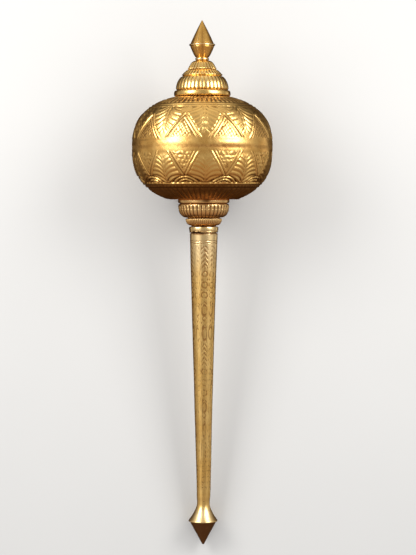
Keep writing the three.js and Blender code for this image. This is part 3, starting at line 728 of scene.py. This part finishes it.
def gilt(name, high, mid, low, rough_high, rough_low, bump=0.25, grime_and_shade=0.85, tone_along=None, proud=None):
    """Gilt brass: bright where it stands proud, darkened in the lines by patina and painted shade, with a slow change
    of tone and fine scratches.
    """
    m = bpy.data.materials.new(name)
    m.use_nodes = True
    n = Nodes(m.node_tree)
    out = n.add("ShaderNodeOutputMaterial")
    bsdf = n.add("ShaderNodeBsdfPrincipled")
    n.tree.links.new(bsdf.outputs[0], out.inputs[0])
    where = n.add("ShaderNodeTexCoord").outputs["Object"]
    relief = n.add("ShaderNodeAttribute", attribute_name="Relief").outputs["Fac"]
    wear = n.add("ShaderNodeAttribute", attribute_name="Wear").outputs["Fac"]
    slow = n.noise(where, 22, 3, 0.5)
    blot = n.noise(where, 90, 4, 0.6, 0.4)
    grain = n.noise(where, 900, 2, 0.5)
    stain = n.noise(where, 260, 4, 0.65, 0.6)
    # how deep the darkening is: in the lines, partly patina and partly painted shade, broken by stains
    depth = n.span(n.math("ADD", relief, n.math("MULTIPLY", n.math("SUBTRACT", stain, 0.5), 0.35)), 0.46, 0.1)
    tone = n.span(n.math("ADD", n.math("MULTIPLY", slow, 0.6), n.math("MULTIPLY", blot, 0.4)), 0.36, 0.66)
    metal = n.mix(tone, mid, high)
    metal = n.mix(n.math("MULTIPLY", n.span(relief, 0.5, 0.85), n.math("MULTIPLY", wear, 0.8)), metal, high)
    if proud:
        metal = n.mix(n.span(relief, 0.75, 0.98), metal, proud)
    if tone_along:
        # another tone towards one end of the piece: (stations from, to, colour)
        s0, s1, other = tone_along
        along = n.add("ShaderNodeVectorMath", {0: where, 1: (0, math.cos(TILT), math.sin(TILT))}, operation="DOT_PRODUCT").outputs["Value"]
        reach = n.span(along, (LENGTH / 2 - s0) / 1000, (LENGTH / 2 - s1) / 1000)
        metal = n.mix(n.math("MULTIPLY", reach, n.span(slow, 0.2, 0.45, 0.8, 1.0)), metal, other)
    # darken towards the low colour: patina in the lines, plus the painted shade that the relief functions put into
    # Relief
    colour = n.mix(n.math("MULTIPLY", depth, grime_and_shade), metal, low)
    # painted shadow: near-black where Relief falls below zero, in gaps that light does not reach
    colour = n.mix(n.span(relief, -0.2, -0.8), colour, (0.1, 0.05, 0.026, 1))
    n.tree.links.new(colour, bsdf.inputs["Base Color"])
    bsdf.inputs["Metallic"].default_value = 1.0
    rough = n.span(n.math("ADD", n.math("MULTIPLY", blot, 0.5), n.math("MULTIPLY", grain, 0.5)), 0.3, 0.7, rough_high, rough_high + 0.12, False)
    rough = n.math("ADD", rough, n.math("MULTIPLY", depth, rough_low - rough_high))
    n.tree.links.new(n.math("MINIMUM", rough, 0.9), bsdf.inputs["Roughness"])
    scratches = n.noise(n.add("ShaderNodeMapping", {"Vector": where, "Scale": (1.0, 0.12, 1.0)}).outputs[0], 1500, 2, 0.6)
    height = n.math("ADD", n.math("MULTIPLY", scratches, 0.3), n.math("MULTIPLY", stain, 0.7))
    b = n.add("ShaderNodeBump", {"Height": height, "Strength": bump, "Distance": 0.0004})
    n.tree.links.new(b.outputs[0], bsdf.inputs["Normal"])
    return m


HIGH = (0.95, 0.65, 0.25, 1)
MID = (0.87, 0.52, 0.165, 1)
LOW = (0.16, 0.055, 0.014, 1)
polished = gilt("gilt_polished", (0.96, 0.6, 0.19, 1), (0.89, 0.5, 0.12, 1), (0.2, 0.08, 0.025, 1), 0.17, 0.4, 0.12, 0.7, None, (0.95, 0.74, 0.42, 1))
chased = gilt("gilt_chased", HIGH, MID, LOW, 0.24, 0.5, 0.2, 0.9, (207, 228, (0.79, 0.37, 0.1, 1)))      # painted shade: towards the underside, which faces the floor, the gilt turns a darker, redder copper
capped = gilt("gilt_cap", (0.95, 0.64, 0.23, 1), (0.87, 0.52, 0.14, 1), (0.17, 0.065, 0.015, 1), 0.2, 0.45, 0.15, 0.85, None, (0.96, 0.72, 0.34, 1))
worn = gilt("gilt_worn", (0.94, 0.68, 0.29, 1), (0.86, 0.56, 0.19, 1), (0.27, 0.125, 0.036, 1), 0.25, 0.5, 0.3, 0.85, (345, 290, (0.94, 0.74, 0.43, 1)))
collared = gilt("gilt_collar", (0.93, 0.65, 0.32, 1), (0.85, 0.53, 0.22, 1), (0.13, 0.042, 0.014, 1), 0.22, 0.48, 0.2, 0.95, (259, 267, (0.9, 0.53, 0.21, 1)))
flared = gilt("gilt_flared", (0.94, 0.74, 0.42, 1), (0.88, 0.64, 0.31, 1), (0.14, 0.048, 0.016, 1), 0.27, 0.48, 0.12, 0.9, (648, 634, (0.9, 0.62, 0.24, 1)))
pale = gilt("gilt_pale", (0.94, 0.74, 0.42, 1), (0.88, 0.64, 0.31, 1), (0.14, 0.048, 0.016, 1), 0.2, 0.45, 0.12, 0.9)


def finish_piece(ob, node, material):
    ob.data.materials.clear()
    ob.data.materials.append(material)
    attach(ob, BODY)
    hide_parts(node)


BODY = sorted(frame["bodies"])[0]
finish_piece(turned("finial_cones", finial_rows(), 192, finial_relief, 0.35), "finial", polished)
finish_piece(turned("cap_gadrooned", cap_rows(), 432, cap_relief, 1.0), "dome_cap", capped)
finish_piece(turned("globe_chased", globe_rows(), 552, globe_relief, 0.31), "globe", chased)
finish_piece(turned("collar_gadrooned", collar_rows(), FLUTES * 12, collar_relief, 0.8), "collar", collared)
finish_piece(ferrule(), "ferrule", pale)
finish_piece(turned("shaft_chased", shaft_rows(), 200, shaft_relief, 0.2), "shaft", worn)
finish_piece(turned("pommel_flared", pommel_rows(), 192, pommel_relief, 0.35), "pommel", flared)

# ------------------------------------------------------------------ floor
me = bpy.data.meshes.new("floor")
size = 12.0
me.from_pydata([(-size, -size, 0), (size, -size, 0), (size, size, 0), (-size, size, 0)], [], [(0, 1, 2, 3)])
floor = bpy.data.objects.new("floor", me)
bpy.context.scene.collection.objects.link(floor)
floor.location.z = -0.0002
fm = bpy.data.materials.new("pale_floor")
fm.use_nodes = True
n = Nodes(fm.node_tree)
out = n.add("ShaderNodeOutputMaterial")
fb = n.add("ShaderNodeBsdfPrincipled", {"Roughness": 0.9})
where = n.add("ShaderNodeTexCoord").outputs["Object"]
n.tree.links.new(n.mix(n.noise(where, 3, 3), (0.50, 0.505, 0.52, 1), (0.53, 0.535, 0.55, 1)), fb.inputs["Base Color"])
n.tree.links.new(fb.outputs[0], out.inputs[0])
floor.data.materials.append(fm)
floor.visible_glossy = False

# ------------------------------------------------------------------ studio light: strips of light in the world, and two softboxes
AXIS = Vector((0, math.cos(TILT), math.sin(TILT)))      # towards the head
UP = Vector((0, -math.sin(TILT), math.cos(TILT)))       # square to it, away from the floor
SIDE = Vector((1, 0, 0))


def towards(azimuth, elevation):
    a, e = azimuth * D2R, elevation * D2R
    return (SIDE * math.sin(a) + UP * math.cos(a)) * math.cos(e) + AXIS * math.sin(e)


world = bpy.data.worlds.new("studio")
bpy.context.scene.world = world
world.use_nodes = True
n = Nodes(world.node_tree)
wout = n.add("ShaderNodeOutputWorld")
direction = n.add("ShaderNodeTexCoord").outputs["Generated"]


def dot(v):
    return n.add("ShaderNodeVectorMath", {0: direction, 1: tuple(v)}, operation="DOT_PRODUCT").outputs["Value"]


def plus(a, b):
    return n.mix(1.0, a, b, "ADD")


azimuth = n.math("MULTIPLY", n.math("ARCTAN2", dot(SIDE), dot(UP)), 180 / math.pi)
elevation = n.math("MULTIPLY", n.math("ARCSINE", dot(AXIS)), 180 / math.pi)
wide = n.math("ABSOLUTE", azimuth)


def grey(value, tint):
    return n.mix(1.0, n.add("ShaderNodeCombineColor", {0: value, 1: value, 2: value}).outputs[0], tint, "MULTIPLY")


def strip(centre, half, soft, low, high, fade, strength, tint):
    """An upright strip of light, angles in degrees."""
    m = n.span(n.math("ABSOLUTE", n.math("SUBTRACT", azimuth, centre)), half + soft, half)
    e = n.math("MULTIPLY", n.span(elevation, low - fade, low + fade), n.span(elevation, high + fade, high - fade))
    return grey(n.math("MULTIPLY", n.math("MULTIPLY", m, e), strength), tint)


# the room: lighter above the head, dark and reddish below the foot, dark behind
room = n.math("ADD", n.span(elevation, -97, -32, 0.055, 0.37), n.span(elevation, 45, 90, 0.0, 0.68))
room = n.math("MULTIPLY", room, n.math("MAXIMUM", n.span(wide, 138, 102, 0.1, 1.0), n.span(elevation, 42, 72, 0.0, 1.0)))
tint = n.mix(n.span(elevation, -84, 0), (1.0, 0.47, 0.24, 1), (1.0, 0.88, 0.68, 1))
tint = n.mix(n.math("MULTIPLY", n.span(wide, 105, 140), n.span(elevation, 50, 20)), tint, (1.0, 0.55, 0.3, 1))
light = n.mix(1.0, n.add("ShaderNodeCombineColor", {0: room, 1: room, 2: room}).outputs[0], tint, "MULTIPLY")
light = plus(light, strip(-50, 24, 12, -4, 30, 8, 0.5, (1.0, 0.93, 0.8, 1)))
light = plus(light, strip(64, 15, 12, -9, 38, 9, 0.42, (1.0, 0.93, 0.8, 1)))
light = plus(light, strip(124, 3, 4, -15, 12, 8, 1.2, (1.0, 0.9, 0.7, 1)))
light = plus(light, strip(-12, 62, 30, -70, -28, 12, 0.07, (1.0, 0.78, 0.5, 1)))
light = plus(light, strip(-44, 12, 9, -24, -3, 6, 0.4, (1.0, 0.93, 0.8, 1)))
light = plus(light, strip(-90, 8, 10, 36, 62, 10, 0.35, (1.0, 0.96, 0.88, 1)))
light = plus(light, strip(-114, 3, 5, -15, 12, 8, 0.35, (1.0, 0.85, 0.6, 1)))
path = n.add("ShaderNodeLightPath")
seen = n.mix(path.outputs["Is Camera Ray"], light, (0.5, 0.49, 0.475, 1))
seen = n.mix(path.outputs["Is Diffuse Ray"], seen, (1.0, 0.985, 0.95, 1))     # an even light on the floor
back = n.add("ShaderNodeBackground", {"Color": seen, "Strength": 1.0})
n.tree.links.new(back.outputs[0], wout.inputs[0])

# two softboxes near the mace, aimed at the globe
GLOBE = AXIS * ((LENGTH / 2 - GLOBE_MID) / 1000) + Vector((0, 0, MID_Z / 1000))
for name, az, el, away, wide_m, high_m, power in (("key_left", -49, 23.5, 1.15, 0.56, 0.76, 10.3), ("key_right", 49, 22, 1.15, 0.58, 0.74, 9.8)):
    lamp = bpy.data.lights.new(name, "AREA")
    lamp.shape = "RECTANGLE"
    lamp.size, lamp.size_y = wide_m, high_m
    lamp.energy = power
    lamp.color = (1.0, 0.97, 0.91)
    ob = bpy.data.objects.new(name, lamp)
    bpy.context.scene.collection.objects.link(ob)
    to = towards(az, el)
    x_axis = AXIS.cross(to).normalized()
    ob.matrix_world = Matrix.Translation(GLOBE + to * away) @ Matrix((x_axis, to.cross(x_axis), to)).transposed().to_4x4()
    ob.visible_camera = False

# ------------------------------------------------------------------ camera: square to the mace at station 238, a little to its side
DISTANCE = 2.57
LENS = 125.0
foot = AXIS * ((LENGTH / 2 - 238.5) / 1000) + Vector((0, 0, MID_Z / 1000))
place = foot + UP * DISTANCE
target = foot - AXIS * (DISTANCE * math.tan(2.30 * D2R))
cam_data = bpy.data.cameras.new("camera")
cam_data.lens = LENS
cam_data.sensor_width = 36.0
cam_data.sensor_fit = "AUTO"
cam_data.clip_start, cam_data.clip_end = 0.05, 60
cam = bpy.data.objects.new("camera", cam_data)
bpy.context.scene.collection.objects.link(cam)
forward = (target - place).normalized()
right = forward.cross(AXIS).normalized()
top = right.cross(forward)
roll = 0.12 * D2R
offset = right * (5.3 * 1.3337 / 1000)
cam.matrix_world = Matrix.Translation(place + offset) @ Matrix((right, top, -forward)).transposed().to_4x4() @ Matrix.Rotation(-roll, 4, "Z")
bpy.context.scene.camera = cam

bpy.context.scene.view_settings.view_transform = "Standard"
bpy.context.scene.view_settings.look = "None"
